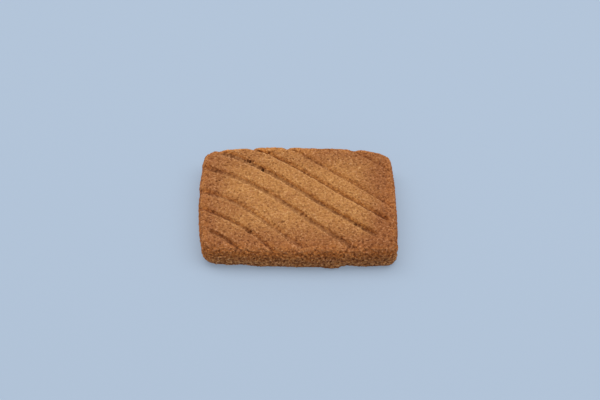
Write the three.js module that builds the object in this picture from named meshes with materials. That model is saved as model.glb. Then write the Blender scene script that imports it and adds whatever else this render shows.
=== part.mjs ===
// A rectangular maple cookie: one baked slab of short dough with soft corners and a rounded upper edge.
// Bowed furrows slant across its top, small holes have opened in them, and its foot is rough and uneven.
// Millimetres, +Z up. It rests on Z = 0 with +X along its length and +Y towards its back edge.
import * as THREE from "three";
import { ImprovedNoise } from "three/addons/math/ImprovedNoise.js";

// The slab
const LENGTH = 59.3;
const WIDTH = 42.6;
const THICKNESS = 9.5;
const CORNER_RADIUS = { frontLeft: 3.8, frontRight: 2.7, backRight: 4.0, backLeft: 3.4 };
const SIDE_BOW = { left: 1.5, right: 0.85, back: 1.9, front: 1.0 }; // how far each side falls back at its ends
const BACK_PEAK = -1.2; // where along X the back stands out the most
const SKEW = -0.028; // the back edge lies a little to the left of the front one
const CROWN = { ends: 0.5, sides: 0.4 }; // how far the top sinks from its middle to its rim
const EDGE_RADIUS = 2.1;
const WALL_SWELL = 0.25; // how far the wall swells out at half its height
const FOOT_RADIUS = 0.9;

// The furrows, each a bowed line seen from above: [x, y] of both ends, how far the line bulges to the back,
// how far it sways into an S, and its share of the full depth and width
const FURROW_DEPTH = 1.25;
const FURROW_HALF_WIDTH = 1.3;
const FURROW_SHARPNESS = 1.5; // 1 cuts a sharp V, 2 a round trough
const FURROW_SHOULDER = 3.4; // half the width of the shallow dip that rounds the ridges off
const SHOULDER_SHARE = 0.24; // the dip's share of the depth
const FURROW_RUNOUT = 2.4; // length past each end over which a furrow dies away
const FURROW_WOBBLE = { height: 0.22, grain: 5 };
const FURROW_UNEVEN = { height: 0.35, grain: 4 }; // here the height is a share of the depth
const FURROWS = [
  { from: [-25.2, -13.8], to: [-16.8, -20.1], bow: 0.2, sway: 0.1, deep: 0.9, wide: 0.9 },
  { from: [-29.3, -4.1], to: [-6.9, -21.1], bow: 1.6, sway: -0.1, deep: 0.9, wide: 0.85 },
  { from: [-29.9, 2.7], to: [1.1, -19.0], bow: 2.1, sway: 0.6, deep: 0.65, wide: 1.25 },
  { from: [-28.8, 12.3], to: [16.5, -19.5], bow: 2.2, sway: 0.75, deep: 0.9, wide: 1.0 },
  { from: [-23.8, 18.3], to: [22.8, -14.3], bow: 1.2, sway: 0.65, deep: 1.05, wide: 1.0 },
  { from: [-13.5, 20.3], to: [26.0, -8.1], bow: 0.4, sway: 0.4, deep: 1.0, wide: 0.9 },
  { from: [-3.1, 20.3], to: [28.4, -3.4], bow: 0.15, sway: 0, deep: 0.9, wide: 0.95 },
  { from: [17.0, 19.2], to: [28.4, 11.1], bow: 0.3, sway: 0.2, deep: 0.7, wide: 0.8 },
];

// Small holes in the top: where, how long, how wide, how deep, and the turn of the long way
const HOLES = [
  { at: [-14.8, 14.8], long: 2.9, wide: 1.1, deep: 0.9, turn: -15 },
  { at: [-10.9, 11.3], long: 1.3, wide: 1.1, deep: 0.9, turn: -50 },
  { at: [-14.2, -13.8], long: 1.6, wide: 1.1, deep: 0.9, turn: -35 },
  { at: [17.1, -10.5], long: 2.0, wide: 1.1, deep: 0.8, turn: -40 },
  { at: [19.4, -11.9], long: 1.4, wide: 1.0, deep: 0.6, turn: -30 },
  { at: [1.2, -6.8], long: 1.5, wide: 1.3, deep: 0.45, turn: 0 },
  { at: [-25.0, 10.8], long: 1.3, wide: 0.9, deep: 0.5, turn: 0 },
];

// Places where the top has sunk along its back edge: where, how far the sinking reaches, and how deep
const SUNKEN = [
  { at: [6.5, 20.5], reach: 5.0, deep: 0.38 },
  { at: [24.4, 19.0], reach: 2.2, deep: 0.4 },
  { at: [-26.2, 18.5], reach: 1.6, deep: 0.35 },
];

// Lumps and gaps along the foot of the front: place along X, half width, and how far each stands out
const FOOT_LUMPS = [
  { x: 10.2, half: 2.3, out: 1.0 },
  { x: 14.8, half: 2.6, out: -0.7 },
  { x: 19.6, half: 2.4, out: 0.2 },
  { x: -16.8, half: 3.2, out: -0.7 },
  { x: -24.4, half: 2.6, out: -0.5 },
];
const FOOT_LUMP_RISE = 3.2; // height over which a lump dies away up the wall

// Unevenness: the height and the grain of each layer of noise
const OUTLINE_ROUGH = { height: 0.16, grain: 9 };
const WALL_ROUGH = { height: 0.26, grain: 2.2 };
const TOP_WAVE = { height: 0.22, grain: 11 };
const TOP_ROUGH = { height: 0.1, grain: 1.9 };

// The net of triangles. Columns and rows are spaced so that the cells' diagonals run with the furrows.
const COLUMNS = 58;
const ROWS = 55;
const EDGE_STEPS = 3;
const WALL_STEPS = 6;

const noise = new ImprovedNoise();

function rough(layer, x, y, z) {
  return layer.height * noise.noise(x / layer.grain, y / layer.grain, z / layer.grain);
}

function smoothstep(t) {
  return THREE.MathUtils.smoothstep(t, 0, 1);
}

function cornerRadius(s, t) {
  const end = s < 0 ? "Left" : "Right";
  return CORNER_RADIUS[(t < 0 ? "front" : "back") + end];
}

// The point of the plan at s, t (each -1 to 1 across the slab), on an outline drawn in by inset
function planPoint(s, t, inset) {
  const halfLength = LENGTH / 2 - inset;
  const halfWidth = WIDTH / 2 - inset;
  const radius = cornerRadius(s, t) - inset;
  let x = Math.abs(s) * halfLength;
  let y = Math.abs(t) * halfWidth;
  const overX = Math.max(0, x - (halfLength - radius));
  const overY = Math.max(0, y - (halfWidth - radius));
  if (overX > 0 && overY > 0) {
    // Inside a corner's square the rings of the net become arcs.
    const pull = Math.max(overX, overY) / Math.hypot(overX, overY);
    x += overX * (pull - 1);
    y += overY * (pull - 1);
  }
  const bowX = (s < 0 ? SIDE_BOW.left : SIDE_BOW.right) * (2 * y / WIDTH) ** 2;
  const fromPeak = Math.sign(s) * x - (t < 0 ? 0 : BACK_PEAK);
  const bowY = (t < 0 ? SIDE_BOW.front : SIDE_BOW.back) * (2 * fromPeak / LENGTH) ** 2;
  const plan = new THREE.Vector2(Math.sign(s) * x, Math.sign(t) * y);
  plan.x -= Math.sign(s) * bowX * Math.abs(s);
  plan.y -= Math.sign(t) * bowY * Math.abs(t);
  plan.x += SKEW * plan.y;
  return plan;
}

// Depth of one furrow at x, y: a rounded V, with a shallow dip on both sides of it
function furrowDepth(furrow, x, y) {
  const from = new THREE.Vector2(...furrow.from);
  const chord = new THREE.Vector2(...furrow.to).sub(from);
  const length = chord.length();
  chord.normalize();
  const offset = new THREE.Vector2(x, y).sub(from);
  const along = offset.dot(chord);
  const turn = (Math.PI * along) / length;
  const line = furrow.bow * Math.sin(turn) + furrow.sway * Math.sin(2 * turn);
  const wobble = rough(FURROW_WOBBLE, x, y, furrow.from[0]);
  const across = Math.abs(chord.cross(offset) - line - wobble);
  const past = Math.max(0, -along, along - length);
  const reach = Math.min(1, across / (FURROW_HALF_WIDTH * furrow.wide));
  const cut = (1 - SHOULDER_SHARE) * (1 - reach ** FURROW_SHARPNESS) ** 2;
  const dip = SHOULDER_SHARE * Math.exp(-((across / FURROW_SHOULDER) ** 2));
  const uneven = 1 + rough(FURROW_UNEVEN, x, y, furrow.from[0]);
  return FURROW_DEPTH * furrow.deep * smoothstep(1 - past / FURROW_RUNOUT) * (cut * uneven + dip);
}

function deepestFurrow(x, y) {
  return Math.max(...FURROWS.map((furrow) => furrowDepth(furrow, x, y)));
}

function holeDepth(hole, x, y) {
  const offset = new THREE.Vector2(x - hole.at[0], y - hole.at[1]);
  offset.rotateAround(new THREE.Vector2(), -THREE.MathUtils.degToRad(hole.turn));
  const reach = Math.hypot(offset.x / (hole.long / 2), offset.y / (hole.wide / 2));
  return hole.deep * Math.exp(-(reach ** 2));
}

function sunkenDepth(place, x, y) {
  const apart = Math.hypot(x - place.at[0], y - place.at[1]);
  return place.deep * Math.exp(-((apart / place.reach) ** 2));
}

// Height of the top at s, t before the furrows are cut
function crestHeight(s, t, plan) {
  const crown = CROWN.ends * s ** 4 + CROWN.sides * t ** 4;
  const wave = rough(TOP_WAVE, plan.x, plan.y, THICKNESS) + rough(TOP_ROUGH, plan.x, plan.y, THICKNESS);
  const holes = HOLES.reduce((sum, hole) => sum + holeDepth(hole, plan.x, plan.y), 0);
  const sunken = SUNKEN.reduce((sum, place) => sum + sunkenDepth(place, plan.x, plan.y), 0);
  return THICKNESS - crown + wave - holes - sunken;
}

// How far the front's lumps stand out at x and height z
function footLump(x, z) {
  const rise = 1 - smoothstep(z / FOOT_LUMP_RISE);
  const bump = (lump) => lump.out * Math.exp(-(((x - lump.x) / lump.half) ** 2));
  return rise * FOOT_LUMPS.reduce((sum, lump) => sum + bump(lump), 0);
}

// Once round the net's rim, anticlockwise seen from above, as [column, row]
function rimCells() {
  const rim = [];
  for (let c = 0; c < COLUMNS; c++) rim.push([c, 0]);
  for (let r = 0; r < ROWS; r++) rim.push([COLUMNS, r]);
  for (let c = COLUMNS; c > 0; c--) rim.push([c, ROWS]);
  for (let r = ROWS; r > 0; r--) rim.push([0, r]);
  return rim;
}

function cellShare(column, row) {
  return [(2 * column) / COLUMNS - 1, (2 * row) / ROWS - 1];
}

// The rings of the side, from the rounded edge down to the foot: how far each is drawn in, and a height
// that starts from the rim's height
function sideRings() {
  const rings = [];
  for (let step = 1; step <= EDGE_STEPS; step++) {
    const turn = ((Math.PI / 2) * step) / EDGE_STEPS;
    const inset = EDGE_RADIUS * (1 - Math.sin(turn));
    rings.push({ inset, height: (rim) => rim - EDGE_RADIUS * (1 - Math.cos(turn)) });
  }
  for (let step = 1; step <= WALL_STEPS; step++) {
    const down = step / WALL_STEPS;
    const inset = -WALL_SWELL * Math.sin(Math.PI * down);
    rings.push({ inset, height: (rim) => (rim - EDGE_RADIUS) * (1 - down) + FOOT_RADIUS * down });
  }
  rings.push({ inset: FOOT_RADIUS, height: () => 0 });
  return rings;
}

// A furrow notches the edge that it runs over, along its own line
function sidePoint(s, t, ring, crest) {
  const plan = planPoint(s, t, ring.inset);
  const z = ring.height(crest - deepestFurrow(plan.x, plan.y));
  const outward = plan.clone().sub(planPoint(s, t, ring.inset + 1)).normalize();
  const edge = smoothstep((THICKNESS - z) / EDGE_RADIUS); // the edge keeps the top's smoothness
  let out = rough(WALL_ROUGH, plan.x, plan.y, z) * edge + rough(OUTLINE_ROUGH, plan.x, plan.y, 0);
  if (t === -1) out += footLump(plan.x, z);
  return new THREE.Vector3(plan.x + outward.x * out, plan.y + outward.y * out, z);
}

function cookieGeometry() {
  const points = [];
  const crests = [];
  const triangles = [];
  const topIndex = (column, row) => row * (COLUMNS + 1) + column;
  for (let row = 0; row <= ROWS; row++) {
    for (let column = 0; column <= COLUMNS; column++) {
      const [s, t] = cellShare(column, row);
      const plan = planPoint(s, t, EDGE_RADIUS);
      const crest = crestHeight(s, t, plan);
      crests.push(crest);
      points.push(new THREE.Vector3(plan.x, plan.y, crest - deepestFurrow(plan.x, plan.y)));
    }
  }
  for (let row = 0; row < ROWS; row++) {
    for (let column = 0; column < COLUMNS; column++) {
      const [a, b] = [topIndex(column, row), topIndex(column + 1, row)];
      const [d, c] = [topIndex(column, row + 1), topIndex(column + 1, row + 1)];
      triangles.push(a, b, d, b, c, d);
    }
  }

  const rim = rimCells();
  let above = rim.map(([column, row]) => topIndex(column, row));
  const rimCrests = above.map((index) => crests[index]);
  for (const ring of sideRings()) {
    const below = rim.map(([column, row], i) => {
      points.push(sidePoint(...cellShare(column, row), ring, rimCrests[i]));
      return points.length - 1;
    });
    rim.forEach((_, i) => {
      const next = (i + 1) % rim.length;
      triangles.push(below[i], below[next], above[next], below[i], above[next], above[i]);
    });
    above = below;
  }

  const middle = points.push(new THREE.Vector3(0, 0, 0)) - 1;
  rim.forEach((_, i) => triangles.push(middle, above[(i + 1) % rim.length], above[i]));

  const geometry = new THREE.BufferGeometry().setFromPoints(points).setIndex(triangles);
  geometry.computeBoundingBox();
  const centre = geometry.boundingBox.getCenter(new THREE.Vector3());
  geometry.translate(-centre.x, -centre.y, 0);
  geometry.computeVertexNormals();
  return geometry;
}

const crust = new THREE.MeshStandardMaterial({ color: 0xb07a48, roughness: 0.92, metalness: 0 });
const cookie = new THREE.Mesh(cookieGeometry(), crust);
cookie.name = "cookie";

const mapleCookie = new THREE.Group();
mapleCookie.add(cookie);

export default mapleCookie;
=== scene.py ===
import math
import bmesh
import bpy
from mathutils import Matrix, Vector


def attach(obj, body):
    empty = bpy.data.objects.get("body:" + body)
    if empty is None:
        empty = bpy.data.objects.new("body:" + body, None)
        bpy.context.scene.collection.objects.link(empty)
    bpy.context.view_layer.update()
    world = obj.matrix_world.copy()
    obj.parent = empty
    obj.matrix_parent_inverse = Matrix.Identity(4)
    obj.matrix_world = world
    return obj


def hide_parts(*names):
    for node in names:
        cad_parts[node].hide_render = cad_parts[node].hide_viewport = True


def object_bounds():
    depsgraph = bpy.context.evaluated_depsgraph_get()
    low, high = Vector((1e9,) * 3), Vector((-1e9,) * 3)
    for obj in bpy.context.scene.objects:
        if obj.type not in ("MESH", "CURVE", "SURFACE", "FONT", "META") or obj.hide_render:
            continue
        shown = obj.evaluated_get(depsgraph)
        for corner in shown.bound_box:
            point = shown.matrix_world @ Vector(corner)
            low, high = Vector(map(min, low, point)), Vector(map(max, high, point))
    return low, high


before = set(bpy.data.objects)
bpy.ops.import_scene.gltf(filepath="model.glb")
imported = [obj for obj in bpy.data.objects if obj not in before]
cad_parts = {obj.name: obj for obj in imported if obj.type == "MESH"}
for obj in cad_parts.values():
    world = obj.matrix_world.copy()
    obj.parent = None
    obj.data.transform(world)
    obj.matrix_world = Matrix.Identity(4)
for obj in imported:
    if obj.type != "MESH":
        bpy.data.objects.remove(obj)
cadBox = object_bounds()
mm = 0.001
flat = (1.0, 1.0, 0.0)  # a place times this is its plan
lowDetail = 1.0  # for the smoother noises
print("maple cookie: frame loaded")


# Shorthands for node trees
def plug(tree, value, socket):
    if isinstance(value, bpy.types.NodeSocket):
        tree.links.new(value, socket)
    else:
        socket.default_value = value


def put(tree, kind, inputs=None, **settings):
    made = tree.nodes.new(kind)
    for name, value in settings.items():
        setattr(made, name, value)
    for key, value in (inputs or {}).items():
        plug(tree, value, made.inputs[key])
    return made


def calc(tree, operation, *values):
    made = put(tree, "ShaderNodeMath", dict(enumerate(values)), operation=operation)
    return made.outputs[0]


def times(tree, first, second):
    return calc(tree, "MULTIPLY", first, second)


# 1 plus the change, as far as the mask reaches
def boost(tree, mask, change):
    return calc(tree, "MULTIPLY_ADD", mask, change, 1.0)


def vectorCalc(tree, operation, *values):
    made = put(tree, "ShaderNodeVectorMath", dict(enumerate(values)), operation=operation)
    return made.outputs["Value" if operation in ("DOT_PRODUCT", "LENGTH") else "Vector"]


def scaled(tree, vector, amount):
    made = put(tree, "ShaderNodeVectorMath", {0: vector, "Scale": amount}, operation="SCALE")
    return made.outputs["Vector"]


def axesOf(tree, vector):
    return put(tree, "ShaderNodeSeparateXYZ", {0: vector}).outputs


# 0 to 1 as value goes from low to high, with soft ends
def fade(tree, value, low, high):
    inputs = {"Value": value, "From Min": low, "From Max": high}
    return put(tree, "ShaderNodeMapRange", inputs, interpolation_type="SMOOTHSTEP").outputs[0]


# A share that rises between two places and falls between two more
def hump(tree, value, rise, fall):
    return times(tree, fade(tree, value, *rise), fade(tree, value, *fall))


# Two places counted from a third
def fromPlace(tree, place, offsets):
    return [calc(tree, "ADD", place, offset) for offset in offsets]


# Noise from -1 to 1 with features about size across
def noise(tree, place, size, detail=2.0):
    scale = calc(tree, "DIVIDE", 1.0, size)
    made = put(tree, "ShaderNodeTexNoise", {"Vector": place, "Scale": scale, "Detail": detail})
    return calc(tree, "MULTIPLY_ADD", made.outputs[0], 2.0, -1.0)


def cells(tree, place, size):
    scale = calc(tree, "DIVIDE", 1.0, size)
    return put(tree, "ShaderNodeTexVoronoi", {"Vector": place, "Scale": scale}, feature="F1").outputs


# Shifts a place about, so that cells lose their even look
def stir(tree, place, size, reach):
    made = put(tree, "ShaderNodeTexNoise", {"Vector": place, "Scale": 1 / size, "Detail": lowDetail})
    shift = vectorCalc(tree, "SUBTRACT", made.outputs["Color"], (0.5, 0.5, 0.5))
    return vectorCalc(tree, "MULTIPLY_ADD", shift, (2 * reach, 2 * reach, 2 * reach), place)


def mixColor(tree, share, first, second, blend="MIX"):
    made = put(tree, "ShaderNodeMix", data_type="RGBA", blend_type=blend)
    plug(tree, share, made.inputs[0])
    plug(tree, first, made.inputs[6])
    plug(tree, second, made.inputs[7])
    return made.outputs[2]


# A geometry tree with a mesh going in and out, and a named number for each of its sizes
def newShapeTree(name, sizes):
    tree = bpy.data.node_groups.new(name, "GeometryNodeTree")
    tree.interface.new_socket("Geometry", in_out="INPUT", socket_type="NodeSocketGeometry")
    for label, value in sizes.items():
        kind = {int: "NodeSocketInt", float: "NodeSocketFloat"}.get(type(value), "NodeSocketObject")
        tree.interface.new_socket(label, in_out="INPUT", socket_type=kind)
    tree.interface.new_socket("Geometry", in_out="OUTPUT", socket_type="NodeSocketGeometry")
    return tree, tree.nodes.new("NodeGroupInput").outputs, tree.nodes.new("NodeGroupOutput").inputs


# Every tree ends the same way: real faces, smooth, in one material
def closeShapeTree(tree, result, geometry, material):
    real = put(tree, "GeometryNodeRealizeInstances", {0: geometry})
    smooth = put(tree, "GeometryNodeSetShadeSmooth", {"Geometry": real.outputs[0]})
    coat = put(tree, "GeometryNodeSetMaterial", {"Geometry": smooth.outputs[0], "Material": material})
    plug(tree, coat.outputs[0], result["Geometry"])


# Runs a tree on an object and leaves a plain mesh in its place
def applyShapeTree(piece, tree, sizes):
    modifier = piece.modifiers.new(tree.name, "NODES")
    modifier.node_group = tree
    for item in tree.interface.items_tree:
        if item.in_out == "INPUT" and item.name in sizes:
            modifier[item.identifier] = sizes[item.name]
    piece.update_tag()
    bpy.context.view_layer.update()
    shaped = piece.evaluated_get(bpy.context.evaluated_depsgraph_get())
    mesh = bpy.data.meshes.new_from_object(shaped)
    piece.modifiers.remove(modifier)
    rough = piece.data
    piece.data = mesh
    bpy.data.meshes.remove(rough)
    mesh.name = piece.name


def newPiece(name, mesh):
    piece = bpy.data.objects.new(name, mesh)
    bpy.context.scene.collection.objects.link(piece)
    return piece


# Camera, at the photo's angle on a 600 x 400 picture
camera = {
    "rise": 48.4,  # degrees above the table
    "turn": -0.5,  # degrees to the right
    "distance": 530 * mm,
    "lens": 103.7,
    "sensor": 36.0,
    "nearest": 10 * mm,
    "aim": Vector((0.69, 6.42, 0.0)) * mm,
}


def placeCamera():
    data = bpy.data.cameras.new("tableCamera")
    data.lens = camera["lens"]
    data.sensor_width = camera["sensor"]
    data.clip_start = camera["nearest"]
    viewer = bpy.data.objects.new("tableCamera", data)
    rise, turn = math.radians(camera["rise"]), math.radians(camera["turn"])
    viewer.rotation_euler = (math.pi / 2 - rise, 0, -turn)
    back = viewer.rotation_euler.to_matrix() @ Vector((0, 0, camera["distance"]))
    viewer.location = camera["aim"] + back
    bpy.context.scene.collection.objects.link(viewer)
    bpy.context.scene.camera = viewer


placeCamera()
print("camera placed")


# Colours of the bake, linear
bakeColors = {
    "golden": (0.56, 0.250, 0.072, 1),
    "brown": (0.343, 0.119, 0.0345, 1),
    "rosy": (0.47, 0.18, 0.075, 1),
    "bran": (0.285, 0.097, 0.0235, 1),
    # the dark of the holes, painted shade
    "holeShade": (0.10, 0.032, 0.009, 1),
    "wallCrumb": (0.56, 0.160, 0.024, 1),
}

# Tints that multiply the tone
bakeTints = {
    # toasted browning and dark crumb, and also painted shade in the hollows and, in part, at the sole
    "toastAndShade": (0.50, 0.41, 0.345, 1),
    # pale flour, and also painted highlight on raised crumb and on the furrows' near lips
    "flourAndLight": (1.44, 1.70, 2.15, 1),
    # painted highlight on the rounded top edge
    "edgeHighlight": (1.21, 1.18, 1.0, 1),
    # painted shade in the furrows' creases, a little browner
    "creaseShade": (0.55, 0.37, 0.24, 1),
    # warm painted shade on the furrows' far slopes, which face away from the light
    "slopeShade": (0.98, 0.77, 0.40, 1),
    # painted shade on the furrows' floors
    "floorShade": (0.66, 0.72, 0.90, 1),
    "sugared": (1.65, 2.05, 2.6, 1),
}

# How the tone runs over the cookie, in mm. A pair is where a change starts and where it is complete.
bakeTone = {
    "broadPatch": 9.0,
    "broadShare": 0.25,
    "smallPatch": 2.2,
    "smallShare": 0.2,
    "patchDetail": 3.0,
    "browning": (-0.35, 1.2),
    "toasting": (0.9, 2.2),
    "toastShare": 0.5,
    "wallShare": 0.8,
    "swaySize": 1.5,  # the bands along the wall sway up and down
    "swayReach": 1.3,
    "footBand": (7.2, 3.8),
    "footShare": 0.72,
    "leftEnd": (-23.5, -27.0),
    "leftChange": -0.75,  # the left end has less of the foot's tone
    # a paler band low on the wall
    "paleBandTop": (4.2, 2.4),
    "paleBandFoot": (0.4, 2.0),
    "paleBandShare": 0.65,
    "flourSize": 0.7,
    "flourShift": (3.0, 8.0, 1.0),  # the shifts keep the noises apart
    "flourGrains": (0.0, 0.4),
    "flourGaps": (-0.03, -0.4),
    # darker towards the sole: partly a browner bake, partly painted contact shade
    "soleBand": (2.7, 1.1),
    "soleShare": 0.55,
    "rosySize": 0.6,
    "rosyShift": (7.0, 3.0, 9.0),
    "rosySpots": (-0.1, 0.45),
    "rosyShare": 0.45,
    "blotchSize": 1.6,
    "blotchShift": (2.0, 13.0, 4.0),
    "blotchPale": (0.0, 0.6),
    "blotchDark": (0.0, -0.6),
    "blotchShare": 0.42,
}

# Where the oven browned the cookie more or less, in mm. The place at (9.4, -22) on the front wall is painted
# shade of a dent in the wall.
browningAndShadePlaces = [
    {"at": (-24.0, -18.0), "reach": 15.0, "share": 0.25},
    {"at": (23.0, -25.0), "reach": 12.0, "share": 1.1},
    {"at": (29.0, -11.0), "reach": 13.0, "share": 0.65},
    {"at": (26.0, 10.0), "reach": 15.0, "share": 0.45},
    {"at": (-5.0, 21.0), "reach": 15.0, "share": -0.6},
    {"at": (-20.0, 12.0), "reach": 8.0, "share": 0.25},
    {"at": (-19.0, 21.0), "reach": 8.0, "share": -0.5},
    {"at": (-18.0, -4.5), "reach": 7.0, "share": 0.45},
    {"at": (2.0, -9.0), "reach": 18.0, "share": 0.15},
    # painted shade of a dent in the front wall
    {"at": (9.4, -22.0), "reach": 3.5, "share": 0.9},
]


def newShadeGroup(name, given, made):
    tree = bpy.data.node_groups.new(name, "ShaderNodeTree")
    for label, kind in given.items():
        tree.interface.new_socket(label, in_out="INPUT", socket_type="NodeSocket" + kind)
    for label, kind in made.items():
        tree.interface.new_socket(label, in_out="OUTPUT", socket_type="NodeSocket" + kind)
    return tree, tree.nodes.new("NodeGroupInput").outputs, tree.nodes.new("NodeGroupOutput").inputs


# Multiplies a colour by a tint, as far as the mask and the share say
def tinted(tree, color, tint, mask, share=1.0):
    return mixColor(tree, times(tree, mask, share), color, bakeTints[tint], "MULTIPLY")


# Tone of the bake: golden in the middle, browner towards the rim, redder on the wall, in uneven patches. It
# also holds
# painted light: a painted highlight on the rounded top edge, painted shade on a dent in the front wall and,
# in part, at the sole.
def makeBakeGroup():
    inputs = {"Place": "Vector", "Rim": "Float", "Wall": "Float", "Edge": "Float"}
    tree, given, made = newShadeGroup("bakedTone", inputs, {"Color": "Color"})
    place, tone = given["Place"], bakeTone

    # Golden to brown, then toasted where it is brownest
    patchy = given["Rim"]
    for patch in ("broad", "small"):
        spread = noise(tree, place, tone[patch + "Patch"], tone["patchDetail"])
        patchy = calc(tree, "MULTIPLY_ADD", spread, tone[patch + "Share"], patchy)
    for spot in browningAndShadePlaces:
        offset = vectorCalc(tree, "SUBTRACT", place, (*spot["at"], 0.0))
        apart = vectorCalc(tree, "LENGTH", vectorCalc(tree, "MULTIPLY", offset, flat))
        patchy = calc(tree, "MULTIPLY_ADD", fade(tree, apart, spot["reach"], 0.0), spot["share"], patchy)
    browning = fade(tree, patchy, *tone["browning"])
    color = mixColor(tree, browning, bakeColors["golden"], bakeColors["brown"])
    color = mixColor(tree, times(tree, given["Wall"], tone["wallShare"]), color, bakeColors["wallCrumb"])
    color = tinted(tree, color, "toastAndShade", fade(tree, patchy, *tone["toasting"]), tone["toastShare"])
    # Painted highlight on the rounded top edge near the outline
    color = tinted(tree, color, "edgeHighlight", given["Edge"])

    # The foot is branny, with flour and gaps in it. A band low on the wall is paler, and the sole is
    # darkest: partly a browner bake, partly painted contact shade
    axes = axesOf(tree, place)
    height = calc(tree, "MULTIPLY_ADD", noise(tree, place, tone["swaySize"]), tone["swayReach"], axes[2])
    leftEnd = boost(tree, fade(tree, axes[0], *tone["leftEnd"]), tone["leftChange"])
    foot = times(tree, fade(tree, height, *tone["footBand"]), leftEnd)
    color = mixColor(tree, times(tree, foot, tone["footShare"]), color, bakeColors["bran"])
    paleFootBand = hump(tree, height, tone["paleBandTop"], tone["paleBandFoot"])
    color = tinted(tree, color, "flourAndLight", paleFootBand, tone["paleBandShare"])
    flour = noise(tree, vectorCalc(tree, "ADD", place, tone["flourShift"]), tone["flourSize"])
    color = tinted(tree, color, "sugared", fade(tree, flour, *tone["flourGrains"]), foot)
    # Darker towards the sole: partly a browner bake, partly painted contact shade
    color = tinted(tree, color, "toastAndShade", fade(tree, axes[2], *tone["soleBand"]), tone["soleShare"])
    color = tinted(tree, color, "toastAndShade", fade(tree, flour, *tone["flourGaps"]), foot)

    # Rosy spots, pale blotches and dark ones all over
    rosy = noise(tree, vectorCalc(tree, "ADD", place, tone["rosyShift"]), tone["rosySize"])
    rosy = times(tree, fade(tree, rosy, *tone["rosySpots"]), tone["rosyShare"])
    color = mixColor(tree, rosy, color, bakeColors["rosy"])
    blotch = noise(tree, vectorCalc(tree, "ADD", place, tone["blotchShift"]), tone["blotchSize"])
    color = tinted(tree, color, "flourAndLight", fade(tree, blotch, *tone["blotchPale"]), tone["blotchShare"])
    color = tinted(tree, color, "toastAndShade", fade(tree, blotch, *tone["blotchDark"]), tone["blotchShare"])
    plug(tree, color, made["Color"])
    return tree


# The dark specks are a little larger than the pale ones and lie elsewhere
speckle = {"darkSize": 1.3, "darkShift": (31.0, 17.0, 5.0), "edge": (0.02, 0.35)}


# Sandy speckle of a short dough: a pale mask, a dark mask and a height
def makeSpeckleGroup():
    outputs = {"Pale": "Float", "Dark": "Float", "Height": "Float"}
    tree, given, made = newShadeGroup("sandySpeckle", {"Place": "Vector", "Grain": "Float"}, outputs)
    place, grain = given["Place"], given["Grain"]
    pale = noise(tree, place, grain)
    darkPlace = vectorCalc(tree, "ADD", place, speckle["darkShift"])
    dark = noise(tree, darkPlace, times(tree, grain, speckle["darkSize"]))
    plug(tree, fade(tree, pale, *speckle["edge"]), made["Pale"])
    plug(tree, fade(tree, dark, *speckle["edge"]), made["Dark"])
    plug(tree, calc(tree, "SUBTRACT", pale, dark), made["Height"])
    return tree


bakeGroup = makeBakeGroup()
speckleGroup = makeSpeckleGroup()


def newMaterial(name):
    material = bpy.data.materials.new(name)
    material.use_nodes = True
    tree = material.node_tree
    tree.nodes.clear()
    shader = tree.nodes.new("ShaderNodeBsdfPrincipled")
    output = tree.nodes.new("ShaderNodeOutputMaterial")
    tree.links.new(shader.outputs[0], output.inputs["Surface"])
    return material, shader


# Object coordinates, in millimetres
def millimetres(tree):
    place = put(tree, "ShaderNodeTexCoord").outputs["Object"]
    return put(tree, "ShaderNodeMapping", {"Vector": place, "Scale": (1 / mm, 1 / mm, 1 / mm)}).outputs[0]


def attribute(tree, name):
    return put(tree, "ShaderNodeAttribute", attribute_name=name).outputs["Fac"]


def placeBake(tree, place):
    made = put(tree, "ShaderNodeGroup", node_tree=bakeGroup)
    plug(tree, place, made.inputs["Place"])
    for label in ("Rim", "Wall", "Edge"):
        plug(tree, attribute(tree, label.lower()), made.inputs[label])
    return made.outputs["Color"]


# Adds the speckle to a colour and returns both the colour and the speckle's height
def placeSpeckle(tree, place, color, finish):
    made = put(tree, "ShaderNodeGroup", node_tree=speckleGroup)
    plug(tree, place, made.inputs["Place"])
    made.inputs["Grain"].default_value = finish["speckleGrain"]
    coarse = boost(tree, attribute(tree, "rim"), finish["rimContrast"])
    coarse = times(tree, coarse, boost(tree, attribute(tree, "furrow"), finish["pressedCalm"]))
    dark = times(tree, made.outputs["Dark"], finish["darkShare"])
    pale = times(tree, made.outputs["Pale"], finish["paleShare"])
    color = tinted(tree, color, "toastAndShade", dark, coarse)
    return tinted(tree, color, "flourAndLight", pale, coarse), made.outputs["Height"]


def finishShader(tree, shader, color, height, finish):
    shader.inputs["Roughness"].default_value = finish["roughness"]
    shader.inputs["Specular IOR Level"].default_value = finish["specular"]
    bump = put(tree, "ShaderNodeBump", {"Height": height, "Strength": 1.0})
    bump.inputs["Distance"].default_value = finish["bumpHeight"]
    plug(tree, color, shader.inputs["Base Color"])
    plug(tree, bump.outputs[0], shader.inputs["Normal"])


# How the crust looks, depths in mm
crustFinish = {
    "roughness": 0.9,
    "specular": 0.2,
    "speckleGrain": 0.6,  # mm
    "paleShare": 0.6,
    "darkShare": 0.55,
    "rimContrast": 0.9,
    "pressedCalm": -0.2,
    "bumpHeight": 0.2 * mm,
    # painted shade in the hollows, painted highlight on what stands out and painted shade in the holes
    "hollowDepth": (0.0, 0.13),
    "hollowShare": 0.7,
    "raisedDepth": (-0.01, -0.1),
    "raisedShare": 0.35,
    "holeShadeDepth": (0.0, 0.9),
    # shares of the painted shade in the crease, on the far slope and on the floor, and of the painted
    # highlight on the near lip
    "creaseShare": 0.72,
    "slopeShare": 0.54,
    "floorShare": 0.5,
    "lipShare": 0.5,
}

# How far the furrows' edges stray, in mm: size of the stray bits and their reach
furrowStray = {"wander": (3.5, 0.2), "crumble": (0.8, 0.18), "grit": (0.45, 0.12)}
furrowNearWall = 0.2

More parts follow.
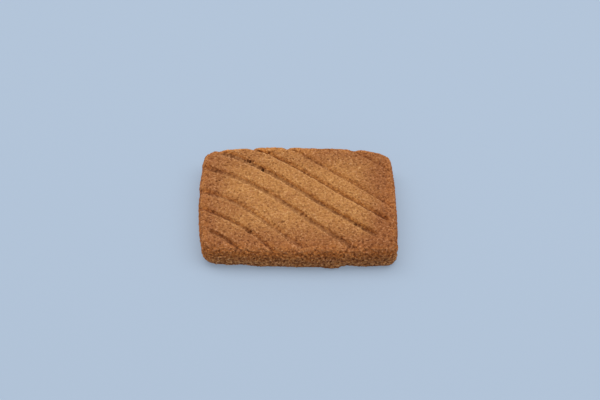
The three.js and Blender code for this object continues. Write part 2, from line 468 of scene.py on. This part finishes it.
# Where a furrow's painted shade and painted highlight start and end, in mm. The lip and the floor's start
# count from the near wall's top edge, the slope's end from the slope's width, and the rest from the crease.
furrowBands = {
    "lipRise": (-1.0, -0.1),
    "lipFall": (0.08, -0.02),
    "floorRise": (-0.15, 0.25),
    "floorFall": (0.3, 0.0),
    "slopeRise": (0.0, 0.2),
    "slopeEnd": 0.3,
    "creaseRise": (-0.24, -0.06),
    "creaseFall": (0.34, 0.06),
    "dotSize": 0.9,  # the crease is a row of dots
    "dotEdge": (-0.25, 0.3),
    "dotShare": 0.85,
}


# Distance behind the crease with the stray bits added
def stray(tree, plan, apart, names):
    for name in names:
        size, reach = furrowStray[name]
        apart = calc(tree, "MULTIPLY_ADD", noise(tree, plan, size), reach, apart)
    return apart


# Where a furrow's floor starts and where its near wall has its top edge, counted from the crease
def nearSide(tree, floor):
    foot = times(tree, floor, -1.0)
    return foot, calc(tree, "SUBTRACT", foot, furrowNearWall)


# Shares of a furrow's parts, from the distance behind its crease: near lip, floor, far slope and dark crease
def furrowTones(tree, plan):
    bands = furrowBands
    apart = stray(tree, plan, attribute(tree, "apart"), furrowStray)
    deep, floor, slope, lip = (attribute(tree, name) for name in ("deep", "floor", "slope", "lip"))
    edge = nearSide(tree, floor)[1]
    lipRise, lipFall = fromPlace(tree, edge, bands["lipRise"]), fromPlace(tree, edge, bands["lipFall"])
    slopeFall = (calc(tree, "ADD", slope, bands["slopeEnd"]), bands["slopeEnd"])
    dots = fade(tree, noise(tree, plan, bands["dotSize"], lowDetail), *bands["dotEdge"])
    dots = calc(tree, "MULTIPLY_ADD", dots, bands["dotShare"], 1 - bands["dotShare"])
    parts = {
        "lip": times(tree, lip, hump(tree, apart, lipRise, lipFall)),
        "floor": hump(tree, apart, fromPlace(tree, edge, bands["floorRise"]), bands["floorFall"]),
        "slope": hump(tree, apart, bands["slopeRise"], slopeFall),
        "crease": times(tree, hump(tree, apart, bands["creaseRise"], bands["creaseFall"]), dots),
    }
    return {label: times(tree, part, deep) for label, part in parts.items()}


def makeCrust():
    material, shader = newMaterial("bakedCrust")
    tree = material.node_tree
    place = millimetres(tree)
    color, height = placeSpeckle(tree, place, placeBake(tree, place), crustFinish)

    # Painted light in the furrows: a painted highlight on the near lip, painted shade on the floor, warm
    # painted shade on the far slope, which faces away from the light, and dark painted shade in the crease
    tints = {"lip": "flourAndLight", "floor": "floorShade", "slope": "slopeShade", "crease": "creaseShade"}
    plan = vectorCalc(tree, "MULTIPLY", place, flat)
    for part, share in furrowTones(tree, plan).items():
        color = tinted(tree, color, tints[part], share, crustFinish[part + "Share"])

    # Painted shade darkens the hollows, a painted highlight makes what stands out paler, and painted shade
    # darkens the holes, the more the deeper they are
    cavity = attribute(tree, "cavity")
    hollow = fade(tree, cavity, *crustFinish["hollowDepth"])
    color = tinted(tree, color, "toastAndShade", hollow, crustFinish["hollowShare"])
    raised = fade(tree, cavity, *crustFinish["raisedDepth"])
    color = tinted(tree, color, "flourAndLight", raised, crustFinish["raisedShare"])
    holeShade = fade(tree, attribute(tree, "spot"), *crustFinish["holeShadeDepth"])
    color = mixColor(tree, holeShade, color, bakeColors["holeShade"])
    finishShader(tree, shader, color, height, crustFinish)
    return material


# How the grains look
grainFinish = {
    "roughness": 0.8,
    "specular": 0.3,
    "speckleGrain": 0.4,  # mm
    "paleShare": 0.4,
    "darkShare": 0.4,
    "rimContrast": 0.9,
    "pressedCalm": -0.2,
    "bumpHeight": 0.03 * mm,
    "paleDraw": (0.3, 1.0),  # a grain's own draw says how pale or dark it is
    "darkDraw": (0.7, 0.0),
}

# How far the grains of each kind go towards the pale and the dark tint
grainTones = {
    "crumbGrains": {"pale": 0.5, "dark": 0.5},
    "sugarGrains": {"pale": 1.0, "dark": 0.0},
    "branFlecks": {"pale": 0.0, "dark": 0.9},
}


def makeGrainCoat(name, tones):
    material, shader = newMaterial(name)
    tree = material.node_tree
    place = millimetres(tree)
    color, height = placeSpeckle(tree, place, placeBake(tree, place), grainFinish)
    tone = attribute(tree, "tone")
    color = tinted(tree, color, "flourAndLight", fade(tree, tone, *grainFinish["paleDraw"]), tones["pale"])
    color = tinted(tree, color, "toastAndShade", fade(tree, tone, *grainFinish["darkDraw"]), tones["dark"])
    finishShader(tree, shader, color, height, grainFinish)
    return material


crust = makeCrust()
grainCoats = {name: makeGrainCoat(name, tones) for name, tones in grainTones.items()}
print("crust and grain materials made")


# The furrows as the solid has them, in mm: both ends, bulge to the back and sway. Deep is a share of the
# cut, lean is how far the crease lies behind the line, floor and slope are widths and lip is a share, each
# even or at start, middle and end. Trim is the share left out at the start. A nick is where a furrow leaves
# the back edge: its shift behind the crease, its depth and the height of its far bank.
furrowLines = {
    "steps": 60,
    "lines": [
        {"start": (-25.2, -13.8), "end": (-16.8, -20.1), "bow": 0.2, "sway": 0.1,
         "deep": (0.85, 0.95, 0.6), "lean": 0.1, "floor": 0.4, "slope": 0.8, "lip": 0.2},
        {"start": (-29.3, -4.1), "end": (-6.9, -21.1), "bow": 1.6, "sway": -0.1,
         "deep": (0.7, 0.75, 0.9), "lean": 0.1, "floor": 0.45, "slope": 0.9, "lip": 0.3},
        {"start": (-29.9, 2.7), "end": (1.1, -19.0), "bow": 2.1, "sway": 0.6,
         "deep": (0.9, 0.7, 0.55), "lean": 0.1, "floor": 0.9, "slope": 1.1, "lip": (0.3, 0.6, 0.9)},
        {"start": (-28.8, 12.3), "end": (16.5, -19.5), "bow": 2.2, "sway": 0.75,
         "deep": (0.6, 0.75, 0.75), "lean": 0.4, "floor": 1.3, "slope": 0.7, "lip": 0.4},
        {"start": (-23.8, 18.3), "end": (22.8, -14.3), "bow": 1.2, "sway": 0.65,
         "deep": (1.1, 0.9, 1.0), "lean": (0.8, 0.35, 0.35), "floor": 1.0, "slope": 1.1,
         "lip": (1.0, 0.4, 0.3), "trim": 0.02, "nickShift": 0.55, "nickDepth": 0.3, "nickBank": 0.03},
        {"start": (-13.5, 20.3), "end": (26.0, -8.1), "bow": 0.4, "sway": 0.4,
         "deep": (1.0, 0.7, 1.0), "lean": 0.1, "floor": 0.15, "slope": 1.3, "lip": 1.0,
         "trim": 0.04, "nickShift": 0.0, "nickDepth": 0.25, "nickBank": 0.34},
        {"start": (-3.1, 20.3), "end": (28.4, -3.4), "bow": 0.15, "sway": 0.0,
         "deep": (0.7, 0.5, 0.35), "lean": (0.6, 0.1, 0.1), "floor": 0.1, "slope": 2.0, "lip": 0.7,
         "trim": 0.05, "nickShift": 0.1, "nickDepth": 0.1, "nickBank": 0.25},
        {"start": (17.0, 19.2), "end": (28.4, 11.1), "bow": 0.3, "sway": 0.2,
         "deep": (0.55, 0.3, 0.3), "lean": -0.1, "floor": 0.2, "slope": 1.2, "lip": 0.3,
         "trim": 0.14, "nickShift": 1.05, "nickDepth": 0.1, "nickBank": 0.3},
    ],
}
furrowValues = ("deep", "lean", "floor", "slope", "lip", "nickShift", "nickDepth", "nickBank")


# A value that goes through three stops along a furrow
def between(stops, turn):
    if isinstance(stops, float):
        return stops
    first, middle, last = stops
    if turn < 0.5:
        return first + (middle - first) * 2 * turn
    return middle + (last - middle) * (2 * turn - 1)


# A wire mesh of the furrows in plan, where each point holds the furrow's shape
def drawFurrows():
    points, edges = [], []
    held = {label: [] for label in furrowValues}
    steps = furrowLines["steps"]
    for line in furrowLines["lines"]:
        start, end = Vector(line["start"]), Vector(line["end"])
        along = end - start
        across = Vector((-along.y, along.x)).normalized()
        for step in range(steps + 1):
            turn = max(step / steps, line.get("trim", 0.0))
            bulge = line["bow"] * math.sin(math.pi * turn) + line["sway"] * math.sin(2 * math.pi * turn)
            spot = start + along * turn + across * bulge
            if step:
                edges.append((len(points) - 1, len(points)))
            points.append((spot.x * mm, spot.y * mm, 0))
            for label, values in held.items():
                values.append(between(line.get(label, 0.0), turn))
    wire = bpy.data.meshes.new("furrowWire")
    wire.from_pydata(points, edges, [])
    for label, values in held.items():
        wire.attributes.new(label, "FLOAT", "POINT").data.foreach_set("value", values)
    return newPiece("furrowWire", wire)


# Small holes in the top, in mm: place, half width and depth
openSpots = [
    {"at": (-16.3, 15.1), "wide": 0.5, "deep": 0.3},
    {"at": (-15.5, 14.9), "wide": 0.55, "deep": 0.45},
    {"at": (-14.7, 14.7), "wide": 0.65, "deep": 0.7},
    {"at": (-14.0, 14.5), "wide": 0.55, "deep": 0.4},
    {"at": (-10.9, 11.3), "wide": 0.55, "deep": 0.8},
    {"at": (-14.3, -13.9), "wide": 0.5, "deep": 0.7},
    {"at": (-13.8, -13.4), "wide": 0.4, "deep": 0.4},
    {"at": (17.1, -10.5), "wide": 0.6, "deep": 0.45},
    {"at": (19.4, -11.9), "wide": 0.5, "deep": 0.35},
    {"at": (-17.3, -8.9), "wide": 0.35, "deep": 0.3},
    {"at": (-16.8, -8.2), "wide": 0.35, "deep": 0.3},
    {"at": (1.0, -6.9), "wide": 0.5, "deep": 0.25},
    {"at": (1.7, -6.5), "wide": 0.5, "deep": 0.2},
    {"at": (2.5, -6.2), "wide": 0.4, "deep": 0.3},
    {"at": (2.5, -7.5), "wide": 0.45, "deep": 0.35},
    {"at": (-4.3, -10.4), "wide": 0.8, "deep": 0.36},
    {"at": (-3.5, -11.6), "wide": 0.4, "deep": 0.3},
    {"at": (-15.0, -0.4), "wide": 0.4, "deep": 0.3},
    {"at": (26.0, 8.7), "wide": 0.4, "deep": 0.3},
    {"at": (26.7, 12.0), "wide": 0.35, "deep": 0.35},
    {"at": (19.1, 9.6), "wide": 0.35, "deep": 0.25},
    {"at": (19.9, 9.3), "wide": 0.3, "deep": 0.2},
    {"at": (20.7, 9.0), "wide": 0.35, "deep": 0.25},
    {"at": (-28.2, 1.8), "wide": 0.4, "deep": 0.3},
    {"at": (-26.6, 1.0), "wide": 0.4, "deep": 0.3},
    {"at": (-25.0, 10.8), "wide": 0.45, "deep": 0.3},
    {"at": (-24.6, 5.8), "wide": 0.35, "deep": 0.25},
    {"at": (-23.6, 6.1), "wide": 0.35, "deep": 0.25},
    {"at": (15.3, -18.9), "wide": 0.45, "deep": 0.3},
    {"at": (16.4, -19.2), "wide": 0.4, "deep": 0.25},
    {"at": (17.5, -19.3), "wide": 0.4, "deep": 0.25},
    {"at": (-17.5, -19.7), "wide": 0.4, "deep": 0.4},
    {"at": (-17.9, -20.4), "wide": 0.45, "deep": 0.5},
]

# The holes' edges are ragged, and a hole is flat over this share of its half width
spotShape = {"raggedSize": 0.7, "raggedReach": 0.3, "flatShare": 0.3}


def drawSpots():
    spots = bpy.data.meshes.new("openSpots")
    spots.from_pydata([(s["at"][0] * mm, s["at"][1] * mm, 0) for s in openSpots], [], [])
    for label in ("wide", "deep"):
        values = [s[label] for s in openSpots]
        spots.attributes.new(label, "FLOAT", "POINT").data.foreach_set("value", values)
    return newPiece("openSpots", spots)


# The crust's relief, lengths in mm
crustRelief = {
    "Facet blur": 7,
    "Lump height": 0.15,
    "Lump size": 2.6,
    "Crumb height": 0.22,
    "Crumb size": 0.95,
    "Sand height": 0.14,
    "Sand size": 0.6,
    "Grain reach": 0.8,
    "Grain low": 0.5,
    "Grain spread": 0.8,
    "Dust height": 0.15,
    "Dust size": 0.4,
    "Pit depth": 0.35,
    "Pit spacing": 1.4,
    "Pit width": 0.42,
    "Pit low": 0.4,
    "Pit spread": 0.8,
    "Cells with no pit": 0.5,
    "More pits on wall": 0.8,
    "Wall roughness": 1.15,
    "Side roughness": 0.5,
    "Crag depth": 0.5,
    "Crag size": 1.2,
    "Settled": 0.2,
    "Furrow cut": 0.24,
    "Furrow lip": 0.1,
    "Pressed calm": -0.25,
    "Rim reach": 14.0,
    "Rim corner": 6.0,
    "Cavity blur": 6,
}

# Zones of the crust, by how far it faces up or back. A pair is where a zone starts and where it is complete.
crustZones = {
    "front": (0.3, -0.5),
    "crown": (-0.1, 0.5),
    "shown": (-0.85, -0.5),  # all but the underside
    "turned": (0.97, 0.6),
    "raggedSize": 2.0,  # mm, the borders of the wall and of the edge are ragged
    "raggedReach": 0.25,
    "top": (0.1, 0.75),
    "slant": (0.1, 0.5),
    "edgeRise": (0.3, 0.8),
    "edgeFall": (1.1, 0.85),
    "edgeRim": (0.75, 0.92),
    "crags": (0.0, -0.5),
    "stirSize": 0.9,  # mm
    "stirReach": 0.3,
}

# Directions across and along the furrows, and where their shapes start and end, in mm
furrowSpan = {
    "behind": (0.57, 0.82, 0.0),
    "along": (0.82, -0.57, 0.0),
    "unevenSize": 2.2,
    "unevenShare": 0.8,
    "evenShare": 0.95,
    "pastEnds": (1.3, 0.5),
    "pastSides": (3.6, 3.0),
    "floorTilt": 0.6,  # share of the cut that the floor falls by
    "lipRise": (-1.1, -0.15),
    "pastNick": (5.0, 4.0),
    "nickRise": (-1.6, -0.25),
    "nickFall": (0.2, -0.05),
    "bankRise": (-0.05, 0.4),
    "bankFall": (2.6, 0.8),
    "backEdge": (18.0, 19.3),
}


# Round grains packed side by side, each of its own height
def packedGrains(tree, place, across, size):
    grain = cells(tree, place, across)
    draw = axesOf(tree, grain["Color"])[0]
    dome = calc(tree, "SUBTRACT", 1.0, fade(tree, grain["Distance"], 0.0, size["Grain reach"]))
    return times(tree, dome, calc(tree, "MULTIPLY_ADD", draw, size["Grain spread"], size["Grain low"]))


# A small pit in some of the cells, each of its own width
def scatteredPits(tree, place, size):
    pores = cells(tree, place, size["Pit spacing"])
    draw = axesOf(tree, pores["Color"])
    reach = calc(tree, "DIVIDE", size["Pit width"], size["Pit spacing"])
    reach = times(tree, reach, calc(tree, "MULTIPLY_ADD", draw[1], size["Pit spread"], size["Pit low"]))
    pit = calc(tree, "SUBTRACT", 1.0, fade(tree, pores["Distance"], 0.0, reach))
    return times(tree, pit, calc(tree, "GREATER_THAN", draw[0], size["Cells with no pit"]))


# A value that a mesh holds under a name
def heldValue(tree, name):
    return put(tree, "GeometryNodeInputNamedAttribute", {"Name": name}, data_type="FLOAT").outputs[0]


def storeValue(tree, shape, name, value):
    inputs = {"Geometry": shape, "Name": name, "Value": value}
    made = put(tree, "GeometryNodeStoreNamedAttribute", inputs, data_type="FLOAT", domain="POINT")
    return made.outputs[0]


# The nearest place on a helper mesh, and the values that its nearest point holds
def nearestOn(tree, helper, plan, element, names):
    shape = put(tree, "GeometryNodeObjectInfo", {"Object": helper}).outputs["Geometry"]
    where = {"Geometry": shape, "Sample Position": plan}
    near = put(tree, "GeometryNodeProximity", where, target_element=element).outputs
    index = put(tree, "GeometryNodeSampleNearest", where).outputs[0]
    held = {}
    for name in names:
        pick = {"Geometry": shape, "Value": heldValue(tree, name), "Index": index}
        made = put(tree, "GeometryNodeSampleIndex", pick, data_type="FLOAT", domain="POINT")
        held[name] = made.outputs[0]
    return near, held


# How far a point lies behind the nearest furrow's crease, in mm, with that furrow's shape and nick there
def nearestFurrow(tree, place, plan, size):
    span = furrowSpan
    near, held = nearestOn(tree, size["Furrow wire"], plan, "EDGES", furrowValues)
    offset = scaled(tree, vectorCalc(tree, "SUBTRACT", plan, near["Position"]), 1 / mm)
    apart = vectorCalc(tree, "DOT_PRODUCT", offset, span["behind"])
    beyond = calc(tree, "ABSOLUTE", vectorCalc(tree, "DOT_PRODUCT", offset, span["along"]))
    uneven = noise(tree, place, span["unevenSize"])
    uneven = calc(tree, "MULTIPLY_ADD", uneven, span["unevenShare"], span["evenShare"])
    deep = times(tree, held["deep"], times(tree, uneven, fade(tree, beyond, *span["pastEnds"])))
    deep = times(tree, deep, fade(tree, calc(tree, "ABSOLUTE", apart), *span["pastSides"]))
    apart = calc(tree, "SUBTRACT", apart, held["lean"])
    furrow = {"apart": apart, "deep": deep}
    for name in ("floor", "slope", "lip"):
        furrow[name] = held[name]
    ending = fade(tree, beyond, *span["pastNick"])
    nick = {
        "apart": calc(tree, "SUBTRACT", apart, held["nickShift"]),
        "depth": times(tree, held["nickDepth"], ending),
        "bank": times(tree, held["nickBank"], ending),
    }
    return furrow, nick


# Where a furrow leaves the back edge it ends in a nick with a steep far bank
def backNick(tree, place, nick):
    span = furrowSpan
    low = times(tree, hump(tree, nick["apart"], span["nickRise"], span["nickFall"]), nick["depth"])
    high = times(tree, hump(tree, nick["apart"], span["bankRise"], span["bankFall"]), nick["bank"])
    atBack = fade(tree, axesOf(tree, place)[1], *span["backEdge"])
    return times(tree, calc(tree, "SUBTRACT", high, low), atBack)


# Shares of a furrow's cut and lip: steep near wall, floor that falls to the crease and gentle far slope
def furrowCut(tree, place, furrow):
    span = furrowSpan
    plan = vectorCalc(tree, "MULTIPLY", place, flat)
    apart = stray(tree, plan, furrow["apart"], ("wander", "crumble"))
    foot, edge = nearSide(tree, furrow["floor"])
    tilt = fade(tree, apart, foot, 0.0)
    tilt = calc(tree, "MULTIPLY_ADD", tilt, span["floorTilt"], 1 - span["floorTilt"])
    cut = times(tree, hump(tree, apart, (edge, foot), (furrow["slope"], 0.0)), tilt)
    lip = hump(tree, apart, fromPlace(tree, edge, span["lipRise"]), (foot, edge))
    lip = times(tree, lip, furrow["lip"])
    return [times(tree, part, furrow["deep"]) for part in (cut, lip)]


# Depth of the holes, in mm
def spotDepth(tree, place, plan, size):
    near, held = nearestOn(tree, size["Open spots"], plan, "POINTS", ("wide", "deep"))
    apart = calc(tree, "DIVIDE", near["Distance"], mm)
    ragged = noise(tree, place, spotShape["raggedSize"], lowDetail)
    apart = calc(tree, "MULTIPLY_ADD", ragged, spotShape["raggedReach"], apart)
    bottom = times(tree, held["wide"], spotShape["flatShare"])
    hole = calc(tree, "SUBTRACT", 1.0, fade(tree, apart, bottom, held["wide"]))
    return times(tree, hole, held["deep"])


# 1 at the outline and 0 a rim's reach inside it
def rimShare(tree, place, size):
    high = cadBox[1]
    half = vectorCalc(tree, "ABSOLUTE", vectorCalc(tree, "MULTIPLY", place, flat))
    corner = put(tree, "ShaderNodeCombineXYZ", {0: size["Rim corner"], 1: size["Rim corner"]}).outputs[0]
    inner = vectorCalc(tree, "SUBTRACT", (high.x / mm, high.y / mm, 0.0), corner)
    over = vectorCalc(tree, "SUBTRACT", half, inner)
    past = vectorCalc(tree, "LENGTH", vectorCalc(tree, "MAXIMUM", over, (0.0, 0.0, 0.0)))
    axes = axesOf(tree, over)
    inside = calc(tree, "MINIMUM", calc(tree, "MAXIMUM", axes[0], axes[1]), 0.0)
    outline = calc(tree, "SUBTRACT", calc(tree, "ADD", past, inside), size["Rim corner"])
    return fade(tree, outline, times(tree, size["Rim reach"], -1.0), 0.0)


def blurred(tree, position, rounds):
    inputs = {"Value": position, "Iterations": rounds}
    return put(tree, "GeometryNodeBlurAttribute", inputs, data_type="FLOAT_VECTOR").outputs["Value"]


def makeReliefTree(sizes, material):
    tree, size, result = newShapeTree("crumbRelief", sizes)
    zones = crustZones

    # The solid's facets are smoothed away first
    position = put(tree, "GeometryNodeInputPosition").outputs[0]
    smooth = {"Geometry": size["Geometry"], "Position": blurred(tree, position, size["Facet blur"])}
    shape = put(tree, "GeometryNodeSetPosition", smooth).outputs[0]
    place = scaled(tree, position, 1 / mm)
    plan = vectorCalc(tree, "MULTIPLY", position, flat)

    # Zones of the crust
    normal = put(tree, "GeometryNodeInputNormal").outputs[0]
    axes = axesOf(tree, normal)
    up, front = axes[2], fade(tree, axes[1], *zones["front"])
    rim = rimShare(tree, place, size)
    ragged = calc(tree, "MULTIPLY_ADD", noise(tree, place, zones["raggedSize"]), zones["raggedReach"], up)
    wall = calc(tree, "SUBTRACT", 1.0, fade(tree, ragged, *zones["top"]))
    steep = calc(tree, "SUBTRACT", 1.0, fade(tree, ragged, *zones["slant"]))
    edge = hump(tree, ragged, zones["edgeRise"], zones["edgeFall"])
    edge = times(tree, edge, fade(tree, rim, *zones["edgeRim"]))
    crown = fade(tree, up, *zones["crown"])
    shown = fade(tree, up, *zones["shown"])
    turned = times(tree, fade(tree, up, *zones["turned"]), calc(tree, "SUBTRACT", 1.0, front))

    # Lumps, crumbs, sand, dust and pits
    stirred = stir(tree, place, zones["stirSize"], zones["stirReach"])
    relief = times(tree, noise(tree, place, size["Lump size"], lowDetail), size["Lump height"])
    layers = (
        (packedGrains(tree, stirred, size["Crumb size"], size), size["Crumb height"]),
        (packedGrains(tree, stirred, size["Sand size"], size), size["Sand height"]),
        (noise(tree, place, size["Dust size"], lowDetail), size["Dust height"]),
    )
    for layer, height in layers:
        relief = calc(tree, "MULTIPLY_ADD", layer, height, relief)
    pitDepth = times(tree, size["Pit depth"], boost(tree, wall, size["More pits on wall"]))
    relief = calc(tree, "SUBTRACT", relief, times(tree, scatteredPits(tree, stirred, size), pitDepth))

    # The front wall is rough and craggy, the other sides and the back edge are smoother
    rough = boost(tree, wall, calc(tree, "SUBTRACT", size["Wall roughness"], 1.0))
    relief = times(tree, relief, rough)
    crag = times(tree, fade(tree, noise(tree, place, size["Crag size"]), *zones["crags"]), steep)
    relief = calc(tree, "SUBTRACT", relief, times(tree, crag, size["Crag depth"]))
    relief = calc(tree, "SUBTRACT", relief, size["Settled"])
    calm = boost(tree, turned, calc(tree, "SUBTRACT", size["Side roughness"], 1.0))
    relief = times(tree, relief, calm)

    # Furrows, nicks and holes
    furrow, nick = nearestFurrow(tree, place, plan, size)
    furrow["deep"] = times(tree, furrow["deep"], crown)
    cut, lip = furrowCut(tree, place, furrow)
    relief = times(tree, relief, boost(tree, cut, size["Pressed calm"]))
    relief = calc(tree, "SUBTRACT", relief, times(tree, cut, size["Furrow cut"]))
    relief = calc(tree, "MULTIPLY_ADD", lip, size["Furrow lip"], relief)
    relief = calc(tree, "MULTIPLY_ADD", backNick(tree, place, nick), crown, relief)
    spot = times(tree, spotDepth(tree, place, plan, size), crown)
    relief = times(tree, calc(tree, "SUBTRACT", relief, spot), shown)

    # Store what the colours and the grains need, then move the surface
    held = {**furrow, "furrow": cut, "wall": wall, "edge": edge, "rim": rim, "spot": spot, "turned": turned}
    for label, value in held.items():
        shape = storeValue(tree, shape, label, value)
    push = scaled(tree, normal, times(tree, relief, mm))
    shape = put(tree, "GeometryNodeSetPosition", {"Geometry": shape, "Offset": push}).outputs[0]

    # Cavity: how far a point lies below its surroundings, in mm
    below = vectorCalc(tree, "SUBTRACT", blurred(tree, position, size["Cavity blur"]), position)
    below = vectorCalc(tree, "DOT_PRODUCT", below, normal)
    shape = storeValue(tree, shape, "cavity", calc(tree, "DIVIDE", below, mm))
    closeShapeTree(tree, result, shape, material)
    return tree


# How the solid is made finer
crustMesh = {"weld": 0.001 * mm, "cuts": 3}


# The cookie itself: a finer copy of the solid, with the crumb's relief
def bakeCookie():
    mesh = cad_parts["cookie"].data.copy()
    welded = bmesh.new()
    welded.from_mesh(mesh)
    bmesh.ops.remove_doubles(welded, verts=welded.verts, dist=crustMesh["weld"])
    bmesh.ops.subdivide_edges(welded, edges=welded.edges, cuts=crustMesh["cuts"], use_grid_fill=True)
    welded.to_mesh(mesh)
    welded.free()
    mesh.materials.clear()
    piece = newPiece("cookieCrust", mesh)
    helpers = {"Furrow wire": drawFurrows(), "Open spots": drawSpots()}
    sizes = {**crustRelief, **helpers}
    applyShapeTree(piece, makeReliefTree(sizes, crust), sizes)
    for helper in helpers.values():
        bpy.data.objects.remove(helper)
    return piece


cookie = bakeCookie()
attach(cookie, "root")
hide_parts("cookie")
print("cookie shaped:", len(cookie.data.polygons), "faces")


# Half sunk grains all over the crust, of three kinds, in mm
crumbKinds = {
    "crumbGrains": {"Grains per mm2": 1.4, "Smallest": 0.36, "Largest": 0.9, "Sunk share": 0.4,
                    "More on wall": 0.5, "Draw": 4},
    "sugarGrains": {"Grains per mm2": 0.9, "Smallest": 0.34, "Largest": 0.75, "Sunk share": 0.38,
                    "More on wall": 1.0, "Draw": 51},
    "branFlecks": {"Grains per mm2": 0.8, "Smallest": 0.3, "Largest": 0.65, "Sunk share": 0.42,
                   "More on wall": 1.0, "Draw": 87},
}

# What all the grains share
grainShape = {
    "facing": -0.4,  # none where the crust faces down more than this
    "pressed": (0.9, 0.1),  # fewer in the furrows
    "sideChange": -0.6,  # fewer on the smoother sides
    "smallBias": 2.0,  # small grains are the most common
    "ball": {"Radius": 0.5, "Subdivisions": 1},
    "thinnest": 0.7,
    "widest": 1.2,
    "turn": 6.28,  # any way round
    "sizeSeed": 8,
    "toneSeed": 15,
    "squashSeed": 21,
    "turnSeed": 33,
}


def randomShare(tree, seed):
    return put(tree, "FunctionNodeRandomValue", {"Seed": seed}, data_type="FLOAT").outputs[1]


def randomVector(tree, low, high, seed):
    inputs = {0: (low, low, low), 1: (high, high, high), "Seed": seed}
    return put(tree, "FunctionNodeRandomValue", inputs, data_type="FLOAT_VECTOR").outputs[0]


def makeScatterTree(sizes, material):
    tree, size, result = newShapeTree("crumbScatter", sizes)
    grain = grainShape

    # Where the grains lie
    up = axesOf(tree, put(tree, "GeometryNodeInputNormal").outputs[0])[2]
    density = boost(tree, heldValue(tree, "wall"), size["More on wall"])
    density = times(tree, density, calc(tree, "DIVIDE", size["Grains per mm2"], mm * mm))
    density = times(tree, density, calc(tree, "GREATER_THAN", up, grain["facing"]))
    density = times(tree, density, fade(tree, heldValue(tree, "furrow"), *grain["pressed"]))
    density = times(tree, density, boost(tree, heldValue(tree, "turned"), grain["sideChange"]))
    inputs = {"Mesh": size["Geometry"], "Density": density, "Seed": size["Draw"]}
    spread = put(tree, "GeometryNodeDistributePointsOnFaces", inputs).outputs

    # Each has its own size and tone, and sinks in by a share of its size
    draw = calc(tree, "POWER", randomShare(tree, grain["sizeSeed"]), grain["smallBias"])
    across = put(tree, "ShaderNodeMix", {0: draw, 2: size["Smallest"], 3: size["Largest"]}).outputs[0]
    across = times(tree, across, mm)
    sink = scaled(tree, spread["Normal"], times(tree, times(tree, across, size["Sunk share"]), -1.0))
    points = put(tree, "GeometryNodeSetPosition", {"Geometry": spread["Points"], "Offset": sink}).outputs[0]
    points = storeValue(tree, points, "tone", randomShare(tree, grain["toneSeed"]))

    # Each is a rough ball, squashed and turned its own way
    ball = put(tree, "GeometryNodeMeshIcoSphere", grain["ball"]).outputs[0]
    squash = randomVector(tree, grain["thinnest"], grain["widest"], grain["squashSeed"])
    turn = randomVector(tree, 0.0, grain["turn"], grain["turnSeed"])
    inputs = {"Points": points, "Instance": ball, "Scale": scaled(tree, squash, across), "Rotation": turn}
    grains = put(tree, "GeometryNodeInstanceOnPoints", inputs)
    closeShapeTree(tree, result, grains.outputs[0], material)
    return tree


def scatterCrumbs(name, sizes):
    piece = newPiece(name, cookie.data.copy())
    applyShapeTree(piece, makeScatterTree(sizes, grainCoats[name]), sizes)
    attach(piece, "root")
    print(name, "scattered:", len(piece.data.polygons), "faces")


for name, sizes in crumbKinds.items():
    scatterCrumbs(name, sizes)


# Table and light, in metres and watts
table = {
    "half": 0.6,
    "color": (0.266, 0.329, 0.412, 1),
    "roughness": 0.8,
    "specular": 0.1,
    "glow": (0.172, 0.213, 0.270, 1),  # light that the table gives back, so that its shadows stay soft
    "glowStrength": 1.0,
}
light = {
    "place": (0.04, 0.14, 0.8),
    "wide": 1.9,
    "deep": 0.55,
    "power": 6.9,
    "color": (1.0, 0.99, 0.97),
    "sky": 0.47,
    "skyColor": (0.97, 0.98, 1.0, 1),
}


def setTable():
    half = table["half"]
    corners = [(-half, -half, 0), (half, -half, 0), (half, half, 0), (-half, half, 0)]
    mesh = bpy.data.meshes.new("paleTable")
    mesh.from_pydata(corners, [], [(0, 1, 2, 3)])
    floor = newPiece("paleTable", mesh)
    material, shader = newMaterial("paleTop")
    shader.inputs["Base Color"].default_value = table["color"]
    shader.inputs["Roughness"].default_value = table["roughness"]
    shader.inputs["Specular IOR Level"].default_value = table["specular"]
    shader.inputs["Emission Color"].default_value = table["glow"]
    shader.inputs["Emission Strength"].default_value = table["glowStrength"]
    mesh.materials.append(material)


def setLight():
    data = bpy.data.lights.new("backWindow", "AREA")
    data.shape = "RECTANGLE"
    data.size = light["wide"]
    data.size_y = light["deep"]
    data.energy = light["power"]
    data.color = light["color"]
    lamp = bpy.data.objects.new("backWindow", data)
    lamp.location = light["place"]
    lamp.rotation_euler = (-lamp.location).to_track_quat("-Z", "Y").to_euler()
    bpy.context.scene.collection.objects.link(lamp)
    world = bpy.data.worlds.new("softSky")
    world.use_nodes = True
    back = world.node_tree.nodes["Background"]
    back.inputs["Color"].default_value = light["skyColor"]
    back.inputs["Strength"].default_value = light["sky"]
    bpy.context.scene.world = world
    bpy.context.scene.view_settings.view_transform = "Standard"


setTable()
setLight()
print("table and light set")
